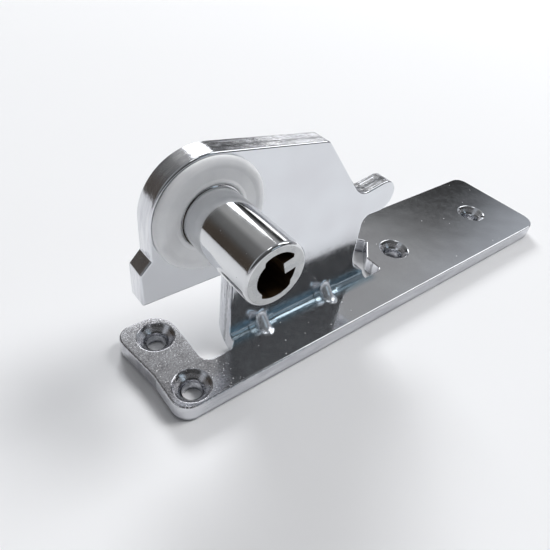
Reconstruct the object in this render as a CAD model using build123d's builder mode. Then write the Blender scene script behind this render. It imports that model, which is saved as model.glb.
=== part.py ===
from build123d import *

import os
from math import cos, radians, sin, sqrt, tan

# Offset hinge bracket with a fixed hollow pin and a loose thrust washer.
#
# Millimetres, +Z up. The origin is on the underside, midway between the two screw holes of the
# left-hand leg. +X runs along the base strip to its far end, +Y from its front edge to its back
# edge, so the tab stands up behind the front edge and the pin points along -Y.

os.makedirs("parts", exist_ok=True)

# Sheet
plate_thickness = 4.5
edge_radius = 0.45
bend_inner_radius = 1.5

# Base strip
base_length = 131.5
front_left_radius = 4.0
front_right_radius = 5.0
back_right_radius = 3.5

# Screw holes. The end holes are set from the strip's left end and front edge, the side holes
# from the two ends of the strip's full-width part.
countersink_radius = 4.25
screw_radius = 2.2
countersink_angle = 90.0
end_hole_x = 5.4
end_hole_front = 5.0
end_hole_pitch = 15.7
side_hole_left = 8.1
side_hole_right = 15.8
side_hole_y = 14.95

# Left leg, whose lobe swells round the back screw hole
leg_width = 10.7
lobe_end = 6.1
lobe_swell = 1.7
lobe_inner_radius = 5.5
lobe_outer_radius = 3.4
lobe_blend_radius = 6.0
leg_blend_radius = 12.0

# Tab stem and the relief notches on both sides of its bend
tab_face_y = 11.85
left_notch_width = 8.5
left_notch_relief = 1.55
left_notch_radius = 2.4
left_notch_corner = 1.0
stem_width = 37.2
flare_width = 5.1
flare_height = 4.2
flare_radius = 8.5
right_notch_width = 6.6
right_notch_relief = 0.35
right_notch_radius = 1.6

# Left end of the strip's full-width part, beside the tab, from the notch to the back edge
notch_wall = 5.5
nick_step = 1.9
nick_depth = 3.6
nick_rise = 5.6
nick_return = 4.2
nick_radius = 0.8
nick_blend_radius = 1.5
strip_end_width = 6.0
strip_end_radius = 4.0

# Tab outline. Heights are above the top of the base.
pin_x = 13.2
pin_height = 35.8
round_end_radius = 11.5
ear_drop = 6.3
ear_bevel = 2.5
ear_height = 9.7
ear_width = 2.3
ear_radius = 0.8
ear_corner_radius = 0.4
top_slope = 8.2
shoulder_inset = 16.1
shoulder_radius = 2.5
valley_inset = 2.9
valley_radius = 5.0
finger_reach = 5.1
finger_height = 24.4
finger_radius = 4.1
finger_slope = 11.3
armpit_radius = 2.2

# Stamped darts that stiffen the bend
dart_pitch = 20.0
dart_reach = 3.4
dart_radius = 1.9
dart_bite = 0.5
dent_radius = 1.5

# Hinge pin
pin_radius = 6.0
pin_length = 19.4
pin_edge_radius = 0.7
collar_step = 0.2
spigot_shoulder = 1.0
rivet_overhang = 1.4
rivet_height = 1.2
rivet_bevel = 0.6

# Keyed socket in the pin's free end
socket_wall = 2.3
socket_root = 4.4
slot_wall = 1.65
slot_width = 5.5
slot_offset = 0.3
key_width = 2.4
key_inner = 1.55
key_offset = 0.5
key_angle = 14.0

# Thrust washer
washer_margin = 0.3
washer_thickness = 1.2
washer_edge_radius = 0.45
washer_running_clearance = 0.05
washer_face_gap = 0.1

# Share of a side that two roundings may use up together
rounding_share = 0.99

# Places in the part's own frame
left_x = -end_hole_x
right_x = left_x + base_length
front_y = -(end_hole_front + end_hole_pitch / 2)
top_z = plate_thickness
leg_right = left_x + leg_width
leg_back = end_hole_pitch / 2 + lobe_end
tab_front = front_y + tab_face_y
tab_back = tab_front + plate_thickness
bend_start_y = tab_front - bend_inner_radius
bend_top_z = top_z + bend_inner_radius
bend_outer_radius = bend_inner_radius + plate_thickness
left_notch_y = bend_start_y - left_notch_relief
right_notch_y = bend_start_y + right_notch_relief
stem_left = leg_right + left_notch_width
stem_right = stem_left + stem_width
stem_middle = (stem_left + stem_right) / 2
flare_right = stem_right + flare_width
strip_left = flare_right + right_notch_width
strip_end = strip_left + nick_step
nick_front_y = right_notch_y + notch_wall
nick_y = nick_front_y + nick_rise
nick_back_y = nick_y + nick_return
back_y = nick_back_y + strip_end_width
end_hole_spots = [(0, -end_hole_pitch / 2, top_z), (0, end_hole_pitch / 2, top_z)]
side_hole_spots = [
    (strip_end + side_hole_left, front_y + side_hole_y, top_z),
    (right_x - side_hole_right, front_y + side_hole_y, top_z),
]
pin_axis_x = left_x + pin_x
pin_axis_z = top_z + pin_height
pin_end_y = tab_front - pin_length
pin_centre = (pin_axis_x, pin_axis_z)
spigot_radius = pin_radius - spigot_shoulder
collar_radius = pin_radius + collar_step
socket_radius = pin_radius - socket_wall
washer_radius = round_end_radius - washer_margin


def front_plane(y):
    """Plane across the pin's axis at y, looked at from the front: local y is up."""
    return Plane(origin=(0, y, 0), x_dir=(1, 0, 0), z_dir=(0, -1, 0))


def outline(corners):
    """Closed outline through corners given as (x, y, radius).

    Where two roundings would meet on a short side, both shrink to leave a sliver of it.
    """
    points = [Vector(x, y) for x, y, radius in corners]
    sides = [end - start for start, end in zip(points, points[1:] + points[:1])]
    turns = [before.get_angle(after) for before, after in zip(sides[-1:] + sides[:-1], sides)]
    setbacks = [radius * tan(radians(turn) / 2) for (x, y, radius), turn in zip(corners, turns)]
    wanted = [start + end for start, end in zip(setbacks, setbacks[1:] + setbacks[:1])]
    shares = [
        min(1, rounding_share * side.length / want) if want > 0 else 1
        for side, want in zip(sides, wanted)
    ]
    radii = [
        radius * min(before, after)
        for (x, y, radius), before, after in zip(corners, shares[-1:] + shares[:-1], shares)
    ]
    return FilletPolyline(*points, radius=radii, close=True)


# Base strip with the leg, the two relief notches and the nicked end beside the tab. The side
# between the notches is the line where the bend begins.
base_corners = [
    (left_x, front_y, front_left_radius),
    (right_x, front_y, front_right_radius),
    (right_x, back_y, back_right_radius),
    (strip_end, back_y, strip_end_radius),
    (strip_end, nick_back_y, nick_blend_radius),
    (strip_end + nick_depth, nick_y, nick_radius),
    (strip_left, nick_front_y, nick_blend_radius),
    (strip_left, right_notch_y, right_notch_radius),
    (flare_right, bend_start_y, 0),
    (stem_left, bend_start_y, 0),
    (stem_left - left_notch_relief, left_notch_y, left_notch_corner),
    (leg_right, left_notch_y, left_notch_radius),
    (leg_right, leg_back, lobe_inner_radius),
    (left_x - lobe_swell, leg_back, lobe_outer_radius),
    (left_x - lobe_swell, end_hole_pitch / 2 + lobe_swell, lobe_blend_radius),
    (left_x, left_notch_y + left_notch_radius, leg_blend_radius),
]

# Tab outline. The round end is one arc about the pin's axis, tangent to its left side and to
# the sloping top, and the finger ends in an arc about its own centre.
top_lean = radians(top_slope)
round_left = pin_axis_x - round_end_radius
round_corner_z = pin_axis_z + round_end_radius * (1 + sin(top_lean)) / cos(top_lean)
ear_left = round_left - ear_width
ear_top_z = pin_axis_z - ear_drop
ear_bottom_z = ear_top_z - ear_height
shoulder_x = stem_right - shoulder_inset
shoulder_z = round_corner_z - (shoulder_x - round_left) * tan(top_lean)
finger_lean = radians(finger_slope)
finger_right = stem_right + finger_reach + finger_radius
finger_centre_z = top_z + finger_height
finger_bottom_z = finger_centre_z - finger_radius
finger_corner_z = finger_centre_z + finger_radius * (1 + sin(finger_lean)) / cos(finger_lean)
valley_x = stem_right - valley_inset
valley_z = finger_corner_z - (finger_right - valley_x) * tan(finger_lean)
tab_corners = [
    (stem_left, bend_top_z, 0),
    (stem_left, ear_bottom_z, ear_corner_radius),
    (ear_left, ear_bottom_z, ear_corner_radius),
    (ear_left, ear_top_z - ear_bevel, ear_radius),
    (round_left, ear_top_z, ear_corner_radius),
    (round_left, round_corner_z, round_end_radius),
    (shoulder_x, shoulder_z, shoulder_radius),
    (valley_x, valley_z, valley_radius),
    (finger_right, finger_corner_z, finger_radius),
    (finger_right, finger_bottom_z, finger_radius),
    (stem_right, finger_bottom_z, armpit_radius),
    (stem_right, top_z + flare_height, flare_radius),
    (flare_right, bend_top_z, 0),
]

with BuildPart() as bracket:
    with BuildSketch(Plane.XY):
        with BuildLine():
            outline(base_corners)
        make_face()
    extrude(amount=plate_thickness)

    with BuildSketch(front_plane(tab_front)):
        with BuildLine():
            outline(tab_corners)
        make_face()
    extrude(amount=-plate_thickness)

    # The bend is a quarter ring between the base and the tab.
    with BuildSketch(Plane(origin=(stem_left, 0, 0), x_dir=(0, 1, 0), z_dir=(1, 0, 0))):
        with BuildLine():
            outer = CenterArc((bend_start_y, bend_outer_radius), bend_outer_radius, -90, 90)
            inner = CenterArc((bend_start_y, bend_outer_radius), bend_inner_radius, -90, 90)
            Line(outer @ 0, inner @ 0)
            Line(outer @ 1, inner @ 1)
        make_face()
    extrude(amount=flare_right - stem_left)

    # Sheared edges are rolled over on the two faces that show, up to the lines of the bend.
    rims = []
    for on_face, on_bend_line in (
        (side_hole_spots[0], (stem_middle, bend_start_y, top_z)),
        ((pin_axis_x, tab_front, pin_axis_z), (stem_middle, tab_front, bend_top_z)),
    ):
        edges = bracket.faces().sort_by_distance(on_face)[0].edges()
        bend_line = edges.sort_by_distance(on_bend_line)[0]
        rims += [edge for edge in edges if edge != bend_line]
    fillet(rims, radius=edge_radius)

    # Two pairs of countersunk screw holes.
    with Locations(*end_hole_spots, *side_hole_spots):
        CounterSinkHole(
            radius=screw_radius,
            counter_sink_radius=countersink_radius,
            counter_sink_angle=countersink_angle,
        )

    # Seat of the pin's spigot.
    with BuildSketch(front_plane(tab_front)):
        with Locations(pin_centre):
            Circle(spigot_radius)
    extrude(amount=-plate_thickness, mode=Mode.SUBTRACT)

    # Each dart is pushed in from behind: a round ridge across the inside of the bend, and the
    # dent that it leaves in the outside. The ridge's crest starts dart_reach in front of the
    # tab and ends as far above the base, and its ends are sunk into the plate.
    dart_height = dart_reach / sqrt(2)
    dart_axis = (dart_height - dart_radius) / sqrt(2)
    dart_middle = Plane(
        origin=(stem_middle, tab_front - dart_axis, top_z + dart_axis),
        x_dir=(1, 0, 0),
        z_dir=(0, 1, 1),
    )
    with BuildSketch(dart_middle):
        with Locations((-dart_pitch / 2, 0), (dart_pitch / 2, 0)):
            Circle(dart_radius)
    extrude(amount=dart_height + dart_bite, both=True)
    bend_diagonal = bend_outer_radius / sqrt(2)
    dent_middle = Plane(
        origin=(stem_middle, bend_start_y + bend_diagonal, bend_outer_radius - bend_diagonal),
        x_dir=(1, 0, 0),
        z_dir=(0, 1, 1),
    )
    with BuildSketch(dent_middle):
        with Locations((-dart_pitch / 2, 0), (dart_pitch / 2, 0)):
            Circle(dent_radius)
    extrude(amount=bend_outer_radius, both=True, mode=Mode.SUBTRACT)
bracket.part.label = "bracket"

# Pin: a turned barrel, the collar at its root that the washer turns on, its spigot through the
# tab and the head that the spigot is riveted over to behind the tab.
with BuildPart() as hinge_pin:
    with BuildSketch(front_plane(tab_front)):
        with Locations(pin_centre):
            Circle(pin_radius)
    extrude(amount=pin_length)
    fillet(hinge_pin.edges().filter_by(GeomType.CIRCLE).sort_by(Axis.Y)[0], pin_edge_radius)
    with BuildSketch(front_plane(tab_front)):
        with Locations(pin_centre):
            Circle(collar_radius)
    extrude(amount=washer_face_gap + washer_thickness)
    with BuildSketch(front_plane(tab_front)):
        with Locations(pin_centre):
            Circle(spigot_radius)
    extrude(amount=-plate_thickness)
    with BuildSketch(front_plane(tab_back)):
        with Locations(pin_centre):
            Circle(spigot_radius + rivet_overhang)
    extrude(amount=-rivet_height)
    chamfer(hinge_pin.edges().filter_by(GeomType.CIRCLE).sort_by(Axis.Y)[-1], rivet_bevel)

    # Blind socket: a round bore widened above and below, with a square key on its right.
    with BuildSketch(front_plane(pin_end_y)):
        with Locations(pin_centre):
            Circle(pin_radius - slot_wall)
            with Locations((slot_offset, 0)):
                Rectangle(slot_width, 2 * pin_radius, mode=Mode.INTERSECT)
            Circle(socket_radius)
            with PolarLocations(key_inner, 1, start_angle=key_angle):
                with Locations((socket_radius / 2, key_offset)):
                    Rectangle(socket_radius, key_width, mode=Mode.SUBTRACT)
    extrude(amount=socket_root - pin_length, mode=Mode.SUBTRACT)
hinge_pin.part.label = "hinge_pin"

# Washer, free to turn on the pin's collar against the tab.
with BuildPart() as thrust_washer:
    with BuildSketch(front_plane(tab_front - washer_face_gap)):
        with Locations(pin_centre):
            Circle(washer_radius)
            Circle(collar_radius + washer_running_clearance, mode=Mode.SUBTRACT)
    extrude(amount=washer_thickness)
    fillet(
        thrust_washer.edges().filter_by(GeomType.CIRCLE).group_by(SortBy.RADIUS)[-1],
        washer_edge_radius,
    )
thrust_washer.part.label = "thrust_washer"

export_step(bracket.part, "parts/bracket.step")
export_step(hinge_pin.part, "parts/hinge_pin.step")
export_step(thrust_washer.part, "parts/thrust_washer.step")
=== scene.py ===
from math import cos, pi, radians, sin, sqrt, tan

import bmesh
import bpy
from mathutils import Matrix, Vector


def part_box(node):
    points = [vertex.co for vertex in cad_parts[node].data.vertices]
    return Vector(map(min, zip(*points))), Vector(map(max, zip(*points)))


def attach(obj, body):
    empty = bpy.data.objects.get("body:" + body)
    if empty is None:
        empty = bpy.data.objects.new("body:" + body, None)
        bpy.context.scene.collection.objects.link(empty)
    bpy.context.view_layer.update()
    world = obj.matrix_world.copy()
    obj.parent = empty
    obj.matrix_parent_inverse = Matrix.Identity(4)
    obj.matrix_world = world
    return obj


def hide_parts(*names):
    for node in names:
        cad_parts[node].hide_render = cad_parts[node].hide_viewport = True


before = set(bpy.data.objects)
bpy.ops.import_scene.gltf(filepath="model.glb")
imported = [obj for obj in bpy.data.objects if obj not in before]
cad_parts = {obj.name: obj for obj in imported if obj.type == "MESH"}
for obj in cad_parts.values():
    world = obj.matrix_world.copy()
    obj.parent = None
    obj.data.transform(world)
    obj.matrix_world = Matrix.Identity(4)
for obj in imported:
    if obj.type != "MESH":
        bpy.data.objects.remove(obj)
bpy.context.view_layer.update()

# A chromed offset hinge bracket with its hollow pin and loose thrust washer, on a pale studio
# floor. Lengths are in metres, in the part's own frame: +X along the base, +Z up, and the pin
# points along -Y.

mm = 0.001

# Places that the frame gives
base_low, base_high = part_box("bracket")
pin_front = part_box("hinge_pin")[0].y
washer_low, washer_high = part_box("thrust_washer")
pin_x = (washer_low.x + washer_high.x) / 2
pin_z = (washer_low.z + washer_high.z) / 2

# Washer, and the play behind it
washer_bore_radius = 6.25 * mm
washer_play = 0.1 * mm

# Sheet and bend, as the plate is folded
plate_thickness = 4.5 * mm
bend_inner_radius = 1.5 * mm
tab_front = washer_high.y + washer_play

# Darts pressed into the bend from behind
stem_middle = 32.4 * mm
dart_pitch = 20.0 * mm
dart_radius = 1.9 * mm
dart_crest = 2.404 * mm
dart_blend = 1.2 * mm
dart_fold_blend = 2.4 * mm
dart_lift = 0.03 * mm
dart_dive = 0.02 * mm

# Small rounds on the sheared edges, the countersinks' rims and the pin's turned edges
bottom_round = 0.45 * mm
top_round = 0.22 * mm
tab_back_round = 0.20 * mm
pin_round = 0.08 * mm

# Distances that count as none when the solids' skins are worked
weld_distance = 0.0005 * mm
level_tolerance = 0.01 * mm


# Shader helpers

def new_material(name):
    """Material with its own principled shader."""
    material = bpy.data.materials.new(name)
    material.use_nodes = True
    return material, material.node_tree, material.node_tree.nodes["Principled BSDF"]


def object_place(tree):
    """Object coordinates of the surface."""
    return tree.nodes.new("ShaderNodeTexCoord").outputs["Object"]


def noise(tree, place, size, detail=2.0, roughness=0.5):
    """Noise whose grains are about size metres across."""
    node = tree.nodes.new("ShaderNodeTexNoise")
    node.inputs["Scale"].default_value = 1 / size
    node.inputs["Detail"].default_value = detail
    node.inputs["Roughness"].default_value = roughness
    tree.links.new(place, node.inputs["Vector"])
    return node.outputs["Fac"]


def dots(tree, place, spacing, radius, crowd=0.5):
    """Scattered round dots, 1 inside and 0 outside. crowd is the share of places that hold one."""
    cells = tree.nodes.new("ShaderNodeTexVoronoi")
    cells.inputs["Scale"].default_value = 1 / spacing
    tree.links.new(place, cells.inputs["Vector"])
    inside = step(tree, cells.outputs["Distance"], 1.3 * radius / spacing, 0.7 * radius / spacing)
    chosen = maths(tree, "LESS_THAN", axes(tree, cells.outputs["Color"])[0], crowd)
    return maths(tree, "MULTIPLY", inside, chosen)


def stretched(tree, place, scale):
    """Place with each axis scaled, so that a pattern runs along the smallest."""
    node = tree.nodes.new("ShaderNodeMapping")
    node.inputs["Scale"].default_value = scale
    tree.links.new(place, node.inputs["Vector"])
    return node.outputs["Vector"]


def ramp(tree, value, stops):
    """Colour or grey picked along value. Each stop is (position, grey or colour)."""
    node = tree.nodes.new("ShaderNodeValToRGB")
    elements = node.color_ramp.elements
    while len(elements) < len(stops):
        elements.new(0.5)
    for element, (position, tone) in zip(elements, stops):
        element.position = position
        colour = tone if isinstance(tone, tuple) else (tone, tone, tone)
        element.color = (*colour, 1)
    tree.links.new(value, node.inputs["Fac"])
    return node.outputs["Color"]


def maths(tree, operation, first, second=0.0, third=0.0):
    """One arithmetic node of up to three values, which are sockets or numbers."""
    node = tree.nodes.new("ShaderNodeMath")
    node.operation = operation
    for socket, value in zip(node.inputs, (first, second, third)):
        if isinstance(value, (int, float)):
            socket.default_value = value
        else:
            tree.links.new(value, socket)
    return node.outputs["Value"]


def step(tree, value, start, end):
    """Smooth step from 0 where value is start to 1 where it is end."""
    node = tree.nodes.new("ShaderNodeMapRange")
    node.interpolation_type = "SMOOTHSTEP"
    node.inputs["From Min"].default_value = start
    node.inputs["From Max"].default_value = end
    tree.links.new(value, node.inputs["Value"])
    return node.outputs["Result"]


def axes(tree, place):
    """The x, y and z of a place."""
    node = tree.nodes.new("ShaderNodeSeparateXYZ")
    tree.links.new(place, node.inputs["Vector"])
    return node.outputs["X"], node.outputs["Y"], node.outputs["Z"]


def along(tree, place, direction):
    """How far a place lies along a direction."""
    node = tree.nodes.new("ShaderNodeVectorMath")
    node.operation = "DOT_PRODUCT"
    tree.links.new(place, node.inputs[0])
    node.inputs[1].default_value = direction
    return node.outputs["Value"]


def mixed(tree, share, first, second):
    """Colour that goes from first to second with share. Both are colours or sockets."""
    node = tree.nodes.new("ShaderNodeMix")
    node.data_type = "RGBA"
    tree.links.new(share, node.inputs["Factor"])
    for socket, tone in ((node.inputs["A"], first), (node.inputs["B"], second)):
        if isinstance(tone, tuple):
            socket.default_value = (*tone, 1)
        else:
            tree.links.new(tone, socket)
    return node.outputs["Result"]


def bump(tree, height, depth, below=None):
    """Normal of a bumped surface, whose height runs from 0 to depth metres."""
    node = tree.nodes.new("ShaderNodeBump")
    node.inputs["Distance"].default_value = depth
    tree.links.new(height, node.inputs["Height"])
    if below is not None:
        tree.links.new(below, node.inputs["Normal"])
    return node.outputs["Normal"]


# Finishes

def base_masks(tree, place):
    """Shares of the base's top, and of its end with the pair of holes."""
    x, _, z = axes(tree, place)
    on_base = step(tree, z, plate_thickness + 0.6 * mm, plate_thickness + 0.3 * mm)
    on_end = maths(tree, "MULTIPLY", step(tree, x, 14 * mm, 7 * mm), on_base)
    return on_base, on_end


def bend_masks(tree, place):
    """Shares of the bend's inside between the notches, and of the darts across it.

    z minus y grows from the fold's inner corner, both along the base and up the tab. It is as
    large on the lower part of the tab's back and under the base, so both shares show there too.
    """
    x, y, z = axes(tree, place)
    from_corner = maths(tree, "SUBTRACT", z, y)
    corner = plate_thickness - tab_front
    inside_fold = step(tree, from_corner, corner - 1.4 * mm, corner - 0.6 * mm)
    right_of_notch = step(tree, x, 11 * mm, 13 * mm)
    left_of_relief = step(tree, x, 60 * mm, 57 * mm)
    in_stem = maths(tree, "MULTIPLY", right_of_notch, left_of_relief)
    inside_stem = maths(tree, "MULTIPLY", inside_fold, in_stem)
    by_bend = step(tree, from_corner, corner + 4.2 * mm, corner + 1.8 * mm)
    on_bend = maths(tree, "MULTIPLY", by_bend, inside_stem)

    from_middle = maths(tree, "ABSOLUTE", maths(tree, "SUBTRACT", x, stem_middle))
    from_dart = maths(tree, "ABSOLUTE", maths(tree, "SUBTRACT", from_middle, dart_pitch / 2))
    by_dart = step(tree, from_corner, corner + 4.6 * mm, corner + 3.4 * mm)
    by_dart = maths(tree, "MULTIPLY", by_dart, inside_stem)
    on_dart = maths(tree, "MULTIPLY", step(tree, from_dart, 2.0 * mm, 1.0 * mm), by_dart)
    return on_bend, on_dart


def chrome_face():
    """Bright plate over rolled sheet, with slow waves and sparse specks.

    The end with the pair of holes is pitted, and specks crowd there, coloured near-white as painted
    glints. The inside of the bend is drawn into streaks along it and coloured darker and bluish,
    as painted shade in the crease and a painted bluish reflection. The darts across it are satin.
    """
    material, tree, shader = new_material("chrome_face")
    place = object_place(tree)
    on_base, on_end = base_masks(tree, place)
    on_bend, on_dart = bend_masks(tree, place)
    waves = noise(tree, place, 9 * mm, detail=1.0)
    grain = noise(tree, place, 1.3 * mm, detail=3.0, roughness=0.6)
    sparse_specks = maths(tree, "MULTIPLY", dots(tree, place, 2.4 * mm, 0.16 * mm, 0.5), on_base)
    end_specks = maths(tree, "MULTIPLY", dots(tree, place, 0.62 * mm, 0.09 * mm, 0.6), on_end)
    specks = maths(tree, "MAXIMUM", sparse_specks, end_specks)
    pits = noise(tree, place, 0.45 * mm, detail=4.0, roughness=0.65)
    patches = step(tree, noise(tree, place, 3.2 * mm, detail=2.0), 0.38, 0.62)
    on_pits = maths(tree, "MULTIPLY", maths(tree, "MULTIPLY_ADD", patches, 0.4, 0.6), on_end)
    along_bend = stretched(tree, place, (0.07, 1.0, 1.0))
    drawn = noise(tree, along_bend, 0.45 * mm, detail=3.0, roughness=0.6)

    normal = bump(tree, waves, 0.045 * mm)
    normal = bump(tree, grain, 0.0022 * mm, normal)
    normal = bump(tree, maths(tree, "MULTIPLY", pits, on_pits), 0.014 * mm, normal)
    normal = bump(tree, maths(tree, "MULTIPLY", drawn, on_bend), 0.06 * mm, normal)
    tree.links.new(normal, shader.inputs["Normal"])

    haze = ramp(tree, grain, [(0.3, 0.08), (0.75, 0.17)])
    haze = maths(tree, "MULTIPLY_ADD", specks, 0.3, haze)
    haze = maths(tree, "MULTIPLY_ADD", on_end, 0.05, haze)
    haze = maths(tree, "MULTIPLY_ADD", on_dart, 0.10, haze)
    tree.links.new(maths(tree, "MULTIPLY_ADD", on_bend, 0.11, haze), shader.inputs["Roughness"])

    tone = ramp(tree, waves, [(0.3, (0.69, 0.70, 0.73)), (0.7, (0.74, 0.76, 0.79))])
    pitted = ramp(tree, pits, [(0.38, (0.30, 0.30, 0.32)), (0.62, (0.68, 0.68, 0.71))])
    tone = mixed(tree, on_pits, tone, pitted)
    # Painted shade and painted reflection: the inside of the bend is coloured darker and bluish.
    tone = mixed(tree, on_bend, tone, (0.42, 0.52, 0.59))
    tone = mixed(tree, on_dart, tone, (0.66, 0.70, 0.75))
    # Painted glints: the specks are coloured near-white, and below they are made less metallic so
    # that they show bright.
    tree.links.new(mixed(tree, specks, tone, (0.93, 0.93, 0.95)), shader.inputs["Base Color"])

    dull = maths(tree, "MULTIPLY_ADD", specks, -0.45, 1.0)
    tree.links.new(maths(tree, "MULTIPLY_ADD", on_dart, -0.28, dull), shader.inputs["Metallic"])
    return material


def chrome_base_wall():
    """Sheared wall round the base, with painted shade darkening it by the floor, and painted light
    making its left end paler; that end is also duller.
    """
    material, tree, shader = new_material("chrome_base_wall")
    place = object_place(tree)
    tears = noise(tree, stretched(tree, place, (0.15, 0.15, 1.0)), 0.8 * mm, detail=4.0)
    chips = noise(tree, place, 1.1 * mm, detail=3.0, roughness=0.6)
    normal = bump(tree, tears, 0.12 * mm)
    tree.links.new(bump(tree, chips, 0.05 * mm, normal), shader.inputs["Normal"])
    x, _, z = axes(tree, place)
    haze = ramp(tree, chips, [(0.3, 0.10), (0.7, 0.26)])
    on_end = step(tree, x, 3 * mm, -3 * mm)
    tree.links.new(maths(tree, "MULTIPLY_ADD", on_end, 0.25, haze), shader.inputs["Roughness"])
    tone = ramp(tree, tears, [(0.3, (0.55, 0.56, 0.60)), (0.7, (0.74, 0.75, 0.78))])
    # Painted light: the left end is coloured paler, as if lit from the left.
    tone = mixed(tree, on_end, tone, (0.82, 0.83, 0.86))
    # Painted shade: the wall is coloured dark grey near the floor.
    painted_shade_by_floor = step(tree, z, 1.1 * mm, 0.3 * mm)
    tone = mixed(tree, painted_shade_by_floor, tone, (0.26, 0.27, 0.30))
    tree.links.new(tone, shader.inputs["Base Color"])
    shader.inputs["Metallic"].default_value = 0.9
    return material


def chrome_tab_wall():
    """Sheared wall round the tab, with a wandering fracture line along its sloping top."""
    material, tree, shader = new_material("chrome_tab_wall")
    place = object_place(tree)
    x, y, _ = axes(tree, place)
    tears = noise(tree, stretched(tree, place, (0.15, 1.0, 0.15)), 0.8 * mm, detail=4.0)
    chips = noise(tree, place, 1.1 * mm, detail=3.0, roughness=0.6)
    on_top = step(tree, x, 9 * mm, 12 * mm)
    rough_tears = maths(tree, "MULTIPLY", tears, on_top)
    normal = bump(tree, tears, 0.05 * mm)
    normal = bump(tree, rough_tears, 0.10 * mm, normal)
    tree.links.new(bump(tree, chips, 0.03 * mm, normal), shader.inputs["Normal"])
    tree.links.new(ramp(tree, chips, [(0.3, 0.08), (0.7, 0.20)]), shader.inputs["Roughness"])
    tone = ramp(tree, tears, [(0.3, (0.62, 0.63, 0.67)), (0.7, (0.84, 0.85, 0.87))])
    wander = maths(tree, "MULTIPLY_ADD", chips, 1.6 * mm, -tab_front - 2.8 * mm)
    off_line = maths(tree, "ABSOLUTE", maths(tree, "ADD", y, wander))
    torn = maths(tree, "MULTIPLY", step(tree, off_line, 0.55 * mm, 0.15 * mm), on_top)
    tree.links.new(mixed(tree, torn, tone, (0.40, 0.41, 0.43)), shader.inputs["Base Color"])
    shader.inputs["Metallic"].default_value = 0.9
    return material


def chrome_countersink():
    """Plated cone of a screw hole, with faint rings of the cutter and a few specks."""
    material, tree, shader = new_material("chrome_countersink")
    place = object_place(tree)
    rings = noise(tree, stretched(tree, place, (0.3, 0.3, 4.0)), 0.7 * mm, detail=2.0)
    specks = noise(tree, place, 0.5 * mm, detail=3.0)
    normal = bump(tree, rings, 0.02 * mm)
    tree.links.new(bump(tree, specks, 0.012 * mm, normal), shader.inputs["Normal"])
    tree.links.new(ramp(tree, specks, [(0.3, 0.18), (0.7, 0.34)]), shader.inputs["Roughness"])
    shader.inputs["Base Color"].default_value = (0.72, 0.72, 0.75, 1)
    shader.inputs["Metallic"].default_value = 0.9
    return material


def chrome_turned():
    """Bright plate over the turned pin, with the tool's fine rings round it and dull specks."""
    material, tree, shader = new_material("chrome_turned")
    place = object_place(tree)
    rings = noise(tree, stretched(tree, place, (0.05, 1.0, 0.05)), 0.6 * mm, detail=2.0)
    waves = noise(tree, place, 4 * mm, detail=2.0)
    specks = dots(tree, place, 1.6 * mm, 0.12 * mm, 0.6)
    normal = bump(tree, waves, 0.010 * mm)
    normal = bump(tree, rings, 0.0012 * mm, normal)
    tree.links.new(normal, shader.inputs["Normal"])
    haze = ramp(tree, waves, [(0.35, 0.06), (0.7, 0.13)])
    tree.links.new(maths(tree, "MULTIPLY_ADD", specks, 0.3, haze), shader.inputs["Roughness"])
    tone = ramp(tree, waves, [(0.3, (0.68, 0.69, 0.71)), (0.7, (0.74, 0.75, 0.76))])
    tree.links.new(tone, shader.inputs["Base Color"])
    shader.inputs["Metallic"].default_value = 1.0
    return material


def chrome_end_face():
    """Faced end of the pin and its key, duller than the barrel."""
    material, tree, shader = new_material("chrome_end_face")
    place = object_place(tree)
    rings = noise(tree, place, 0.4 * mm, detail=3.0)
    haze = noise(tree, place, 2.0 * mm, detail=2.0)
    tree.links.new(bump(tree, rings, 0.006 * mm), shader.inputs["Normal"])
    tree.links.new(ramp(tree, haze, [(0.3, 0.22), (0.7, 0.36)]), shader.inputs["Roughness"])
    tone = ramp(tree, haze, [(0.3, (0.44, 0.45, 0.46)), (0.7, (0.55, 0.56, 0.56))])
    tree.links.new(tone, shader.inputs["Base Color"])
    shader.inputs["Metallic"].default_value = 0.9
    return material


def painted_shade_bore():
    """Unplated bore of the pin, painted near-black brown as the shade inside it."""
    material, tree, shader = new_material("painted_shade_bore")
    place = object_place(tree)
    smears = noise(tree, stretched(tree, place, (1.0, 0.3, 1.0)), 1.5 * mm, detail=3.0)
    # Painted shade: the bore is coloured near-black brown as the shade inside the pin.
    tone = ramp(tree, smears, [(0.3, (0.010, 0.006, 0.003)), (0.75, (0.050, 0.028, 0.012))])
    tree.links.new(tone, shader.inputs["Base Color"])
    tree.links.new(ramp(tree, smears, [(0.3, 0.30), (0.7, 0.55)]), shader.inputs["Roughness"])
    tree.links.new(bump(tree, smears, 0.03 * mm), shader.inputs["Normal"])
    shader.inputs["Specular IOR Level"].default_value = 0.3
    return material


def milky_nylon():
    """Moulded nylon, milky and slightly waxy, with soft mottling."""
    material, tree, shader = new_material("milky_nylon")
    place = object_place(tree)
    mottle = noise(tree, place, 4 * mm, detail=3.0)
    grain = noise(tree, place, 0.25 * mm, detail=2.0)
    tone = ramp(tree, mottle, [(0.3, (0.82, 0.83, 0.85)), (0.7, (0.90, 0.91, 0.92))])
    tree.links.new(tone, shader.inputs["Base Color"])
    tree.links.new(bump(tree, grain, 0.006 * mm), shader.inputs["Normal"])
    tree.links.new(ramp(tree, mottle, [(0.3, 0.38), (0.7, 0.50)]), shader.inputs["Roughness"])
    shader.inputs["Subsurface Weight"].default_value = 0.35
    shader.inputs["Subsurface Radius"].default_value = (1.5 * mm, 1.5 * mm, 1.5 * mm)
    shader.inputs["Subsurface Scale"].default_value = 1.0
    shader.inputs["IOR"].default_value = 1.5
    return material


# Pieces

def welded_skin(node):
    """The node's own surface as one welded skin, its flat faces each in few facets."""
    skin = bmesh.new()
    skin.from_mesh(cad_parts[node].data)
    bmesh.ops.remove_doubles(skin, verts=skin.verts, dist=weld_distance)
    bmesh.ops.dissolve_limit(
        skin,
        angle_limit=radians(0.2),
        use_dissolve_boundaries=False,
        verts=skin.verts,
        edges=skin.edges,
    )
    return skin


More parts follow.
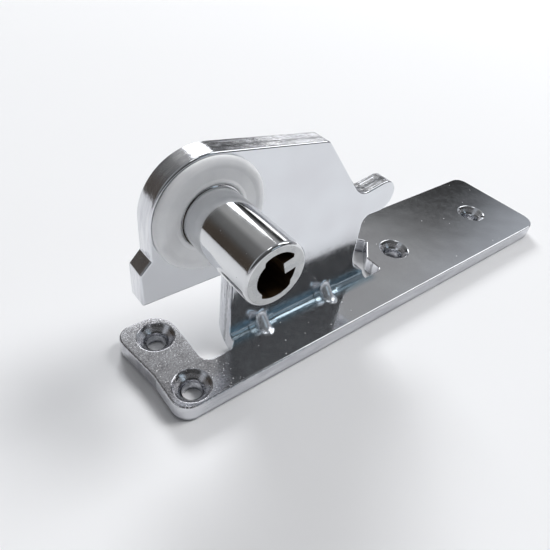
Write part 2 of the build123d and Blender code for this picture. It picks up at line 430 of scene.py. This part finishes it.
def break_edges(skin, width, chosen, segments=3, sharp_angle=30):
    """Breaks the sharp outer edges that are chosen with a small round."""
    sharp = [
        edge
        for edge in skin.edges
        if edge.is_convex and edge.calc_face_angle() > radians(sharp_angle) and chosen(edge)
    ]
    bmesh.ops.bevel(
        skin,
        geom=sharp,
        offset=width,
        segments=segments,
        profile=0.5,
        affect="EDGES",
        clamp_overlap=False,
        material=-1,
    )


def level_at(height):
    """Chooses the edges that lie level at a height."""
    return lambda edge: all(abs(vert.co.z - height) < level_tolerance for vert in edge.verts)


def on_tab_back(edge):
    """Chooses the outline of the tab's back, but not the hole under the riveted head."""
    back = tab_front + plate_thickness
    head_hole_radius = 5.5 * mm
    for vert in edge.verts:
        off_axis = Vector((vert.co.x - pin_x, vert.co.z - pin_z)).length
        if abs(vert.co.y - back) > level_tolerance or off_axis < head_hole_radius:
            return False
    return True


def round_the_axis(edge):
    """Chooses the rings round the pin's axis, whose faces are all square to it or along it."""
    return all(abs(face.normal.y) > 0.9 or abs(face.normal.y) < 0.1 for face in edge.link_faces)


def finish_piece(skin, name, body, materials, smooth_angle=40):
    """Turns a worked skin into a piece of the part."""
    mesh = bpy.data.meshes.new(name)
    skin.to_mesh(mesh)
    skin.free()
    for material in materials:
        mesh.materials.append(material)
    mesh.shade_smooth()
    mesh.set_sharp_from_angle(angle=radians(smooth_angle))
    piece = bpy.data.objects.new(name, mesh)
    bpy.context.scene.collection.objects.link(piece)
    weighted = piece.modifiers.new("flat faces stay flat", "WEIGHTED_NORMAL")
    weighted.keep_sharp = True
    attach(piece, body)
    return piece


def make_bracket():
    """The folded plate: its show faces, its sheared walls and the cones of its screw holes."""
    skin = welded_skin("bracket")
    face_finish, base_wall_finish, tab_wall_finish, cone_finish = range(4)
    bend_top = plate_thickness + bend_inner_radius
    bend_start = tab_front - bend_inner_radius
    steep = 0.3
    for face in skin.faces:
        middle, normal = face.calc_center_median(), face.normal
        in_tab = middle.z > bend_top
        on_base = middle.z < plate_thickness
        on_bend_end = not in_tab and middle.y > bend_start and abs(normal.x) > 0.9
        if in_tab and abs(normal.y) < steep or on_bend_end:
            face.material_index = tab_wall_finish
        elif on_base and abs(normal.z) < steep:
            face.material_index = base_wall_finish
        elif on_base and 0.5 < normal.z < 0.8 and len(face.verts) == 4:
            face.material_index = cone_finish
        else:
            face.material_index = face_finish
    break_edges(skin, bottom_round, level_at(0))
    break_edges(skin, top_round, level_at(plate_thickness))
    break_edges(skin, tab_back_round, on_tab_back)
    materials = [
        chrome_face(),
        chrome_base_wall(),
        chrome_tab_wall(),
        chrome_countersink(),
    ]
    plate = finish_piece(skin, "bracket_plate", "bracket", materials)
    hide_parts("bracket")
    return plate


def smooth_maximum(first, second, blend):
    """The larger of two heights, with a round of about blend where they cross."""
    share = max(0.0, 1 - abs(first - second) / blend)
    return max(first, second) + share * share * blend / 4


def make_dart(name, dart_x, material):
    """Pressed dart with its soft root, laid over the plain ridge inside the bend.

    The skin is a grid over the bend's diagonal plane: across runs along the base, and along runs
    up that plane, square to the fold. Far from the dart it dives just under the plate.
    """
    corner = Vector((dart_x, tab_front, plate_thickness))
    outwards = Vector((0, -1, 1)).normalized()
    upwards = Vector((0, 1, 1)).normalized()
    half_width, half_length = 3.6 * mm, 4.6 * mm
    cells = 56
    skin = bmesh.new()
    bmesh.ops.create_grid(skin, x_segments=cells, y_segments=cells, size=1.0)
    for vert in skin.verts:
        across, along = vert.co.x * half_width, vert.co.y * half_length
        fold = smooth_maximum(along, -along, dart_fold_blend) - dart_dive
        crown = sqrt(max(0.0, dart_radius**2 - across**2))
        ridge = dart_crest - dart_radius + crown + dart_lift
        height = smooth_maximum(fold, ridge, dart_blend)
        vert.co = corner + Vector((across, 0, 0)) + outwards * height + upwards * along
    bmesh.ops.recalc_face_normals(skin, faces=skin.faces)
    if sum((face.normal.dot(outwards) for face in skin.faces), 0.0) < 0:
        bmesh.ops.reverse_faces(skin, faces=skin.faces)
    finish_piece(skin, name, "bracket", [material], smooth_angle=80)


def make_pin():
    """The hollow pin, plated outside and bare in the bore."""
    skin = welded_skin("hinge_pin")
    bore_radius = 4.6 * mm
    barrel_finish, bore_finish, end_finish = range(3)
    for face in skin.faces:
        middle = face.calc_center_median()
        off_axis = Vector((middle.x - pin_x, middle.z - pin_z)).length
        in_front = middle.y < tab_front
        below_mouth = middle.y > pin_front + 0.05 * mm
        if in_front and below_mouth and off_axis < bore_radius:
            face.material_index = bore_finish
        elif face.normal.y < -0.95 and not below_mouth:
            face.material_index = end_finish
        else:
            face.material_index = barrel_finish
    break_edges(skin, pin_round, round_the_axis)
    materials = [chrome_turned(), painted_shade_bore(), chrome_end_face()]
    pin = finish_piece(skin, "pin_barrel", "bracket", materials)
    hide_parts("hinge_pin")


def make_washer():
    """The thrust washer: a moulded ring with a soft raised rim and a lip round its bore."""
    outer_radius = (washer_high.x - washer_low.x) / 2
    back, front = washer_high.y, washer_low.y
    rim_inside = outer_radius - 1.9 * mm
    floor_y = front + 0.16 * mm
    profile = [
        (washer_bore_radius, back - 0.15 * mm),
        (washer_bore_radius, front + 0.20 * mm),
        (washer_bore_radius + 0.06 * mm, front + 0.06 * mm),
        (washer_bore_radius + 0.20 * mm, front),
        (washer_bore_radius + 0.55 * mm, front),
        (washer_bore_radius + 0.80 * mm, floor_y - 0.03 * mm),
        (washer_bore_radius + 1.05 * mm, floor_y),
        (rim_inside - 0.30 * mm, floor_y),
        (rim_inside, floor_y - 0.03 * mm),
        (rim_inside + 0.35 * mm, front + 0.03 * mm),
        (rim_inside + 0.70 * mm, front),
        (outer_radius - 0.70 * mm, front + 0.02 * mm),
        (outer_radius - 0.36 * mm, front + 0.09 * mm),
        (outer_radius - 0.12 * mm, front + 0.25 * mm),
        (outer_radius, front + 0.50 * mm),
        (outer_radius, back - 0.30 * mm),
        (outer_radius - 0.09 * mm, back - 0.09 * mm),
        (outer_radius - 0.30 * mm, back),
        (washer_bore_radius + 0.15 * mm, back),
    ]
    skin = bmesh.new()
    ring = [skin.verts.new((pin_x + radius, y, pin_z)) for radius, y in profile]
    edges = [skin.edges.new(pair) for pair in zip(ring, ring[1:] + ring[:1])]
    bmesh.ops.spin(
        skin,
        geom=ring + edges,
        cent=(pin_x, 0, pin_z),
        axis=(0, 1, 0),
        angle=2 * pi,
        steps=144,
        use_merge=True,
        use_duplicate=False,
    )
    bmesh.ops.remove_doubles(skin, verts=skin.verts, dist=weld_distance)
    bmesh.ops.recalc_face_normals(skin, faces=skin.faces)
    washer = finish_piece(skin, "nylon_washer", "washer", [milky_nylon()])
    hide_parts("thrust_washer")


# Stage

floor_size = 12.0
window_distance = 2.3
lamp_distance = 2.5
floor_gap = 0.1 * mm
floor_tone = (0.88, 0.88, 0.89)
neutral = (1.0, 1.0, 1.0)
daylight = (0.97, 0.985, 1.0)
sky_blue = (0.72, 0.88, 1.0)


def make_floor():
    """Plain pale floor that the bracket lies on."""
    floor = bmesh.new()
    bmesh.ops.create_grid(floor, x_segments=1, y_segments=1, size=floor_size / 2)
    bmesh.ops.translate(floor, vec=(0, 0, -floor_gap), verts=floor.verts)
    mesh = bpy.data.meshes.new("floor")
    floor.to_mesh(mesh)
    floor.free()
    material, _, shader = new_material("floor_paper")
    shader.inputs["Base Color"].default_value = (*floor_tone, 1)
    shader.inputs["Roughness"].default_value = 0.9
    shader.inputs["Specular IOR Level"].default_value = 0.2
    mesh.materials.append(material)
    piece = bpy.data.objects.new("floor", mesh)
    bpy.context.scene.collection.objects.link(piece)


def make_world():
    """A room's soft light by direction, as the chrome mirrors it.

    It is grey behind the part, bluish at its sides, dim in front and an even grey low down, with
    one wide brownish area behind it on the left.
    """
    world = bpy.data.worlds.new("studio")
    world.use_nodes = True
    tree = world.node_tree
    place = tree.nodes.new("ShaderNodeTexCoord").outputs["Generated"]
    x, y, z = axes(tree, place)
    behind_right = ramp(tree, z, [(0.43, 0.02), (0.505, 0.09), (0.575, 0.38), (0.85, 0.35)])
    behind_left = ramp(tree, z, [(0.24, 0.05), (0.36, 0.11), (0.50, 0.10), (0.85, 0.20)])
    right_side = ramp(
        tree,
        z,
        [
            (0.05, 0.10),
            (0.30, (0.43, 0.45, 0.48)),
            (0.60, (0.49, 0.51, 0.54)),
            (0.74, (0.43, 0.45, 0.47)),
            (0.88, (0.33, 0.34, 0.36)),
        ],
    )
    front = ramp(tree, z, [(0.10, 0.03), (0.35, 0.05), (0.60, 0.06), (0.90, 0.12)])
    tone = mixed(tree, step(tree, x, 0.05, -0.25), behind_right, behind_left)
    tone = mixed(tree, step(tree, y, 0.42, 0.26), tone, right_side)
    tone = mixed(tree, step(tree, y, 0.05, -0.20), tone, front)
    tone = mixed(tree, step(tree, z, 0.27, 0.19), tone, (0.39, 0.39, 0.41))
    brown_azimuth, brown_edge, brown_heart = radians(139), radians(44), radians(20)
    to_brown = (cos(brown_azimuth), sin(brown_azimuth), -0.10)
    brown_share = step(tree, along(tree, place, to_brown), cos(brown_edge), cos(brown_heart))
    tone = mixed(tree, brown_share, tone, (0.066, 0.054, 0.045))
    tree.links.new(tone, tree.nodes["Background"].inputs["Color"])
    bpy.context.scene.world = world


def make_lamp(name, azimuth, elevation, across, upright, radiance, tint, mirrored):
    """Soft rectangular lamp, placed and sized by the angles that the part sees, in degrees.

    A mirrored lamp shows in the chrome. One that isn't mirrored only lights and casts shadows.
    """
    distance = window_distance if mirrored else lamp_distance
    light = bpy.data.lights.new(name, "AREA")
    light.shape = "RECTANGLE"
    light.size = 2 * distance * tan(radians(across) / 2)
    light.size_y = 2 * distance * tan(radians(upright) / 2)
    light.energy = radiance * light.size * light.size_y * pi
    light.color = tint
    level = cos(radians(elevation))
    towards = Vector(
        (level * cos(radians(azimuth)), level * sin(radians(azimuth)), sin(radians(elevation)))
    )
    lamp = bpy.data.objects.new(name, light)
    lamp.location = (base_low + base_high) / 2 + towards * distance
    lamp.rotation_euler = towards.to_track_quat("Z", "Y").to_euler()
    lamp.visible_glossy = mirrored
    bpy.context.scene.collection.objects.link(lamp)


def make_lamps():
    """The two big windows, each with a stronger light that isn't mirrored, and three small ones."""
    make_lamp("light_right", -20, 52, 20, 19, 11.4, neutral, mirrored=False)
    make_lamp("window_right", -13, 44, 20, 34, 2.6, neutral, mirrored=True)
    make_lamp("light_behind", 66, 34, 20, 17, 15.0, daylight, mirrored=False)
    make_lamp("window_behind", 66, 34, 20, 17, 3.6, daylight, mirrored=True)
    make_lamp("window_above", 0, 88, 13, 13, 2.6, neutral, mirrored=True)
    make_lamp("low_window_behind", 42, 16, 12, 9, 1.6, neutral, mirrored=True)
    make_lamp("blue_window_front", -64, 29, 22, 12, 0.9, sky_blue, mirrored=True)


def make_camera():
    """The photograph's view, as solved from the part's straight edges and its round rims."""
    data = bpy.data.cameras.new("camera")
    data.sensor_width = 36.0
    data.lens = 33.256
    data.clip_start = 0.005
    camera = bpy.data.objects.new("camera", data)
    camera.location = (-32.20 * mm, -63.85 * mm, 91.26 * mm)
    camera.rotation_euler = (radians(49.0524), radians(-5.7625), radians(-37.3702))
    bpy.context.scene.collection.objects.link(camera)
    bpy.context.scene.camera = camera


plate = make_bracket()
for name, offset in (("dart_left", -dart_pitch / 2), ("dart_right", dart_pitch / 2)):
    make_dart(name, stem_middle + offset, plate.data.materials[0])
make_pin()
make_washer()
make_floor()
make_world()
make_lamps()
make_camera()
bpy.context.scene.view_settings.view_transform = "Standard"
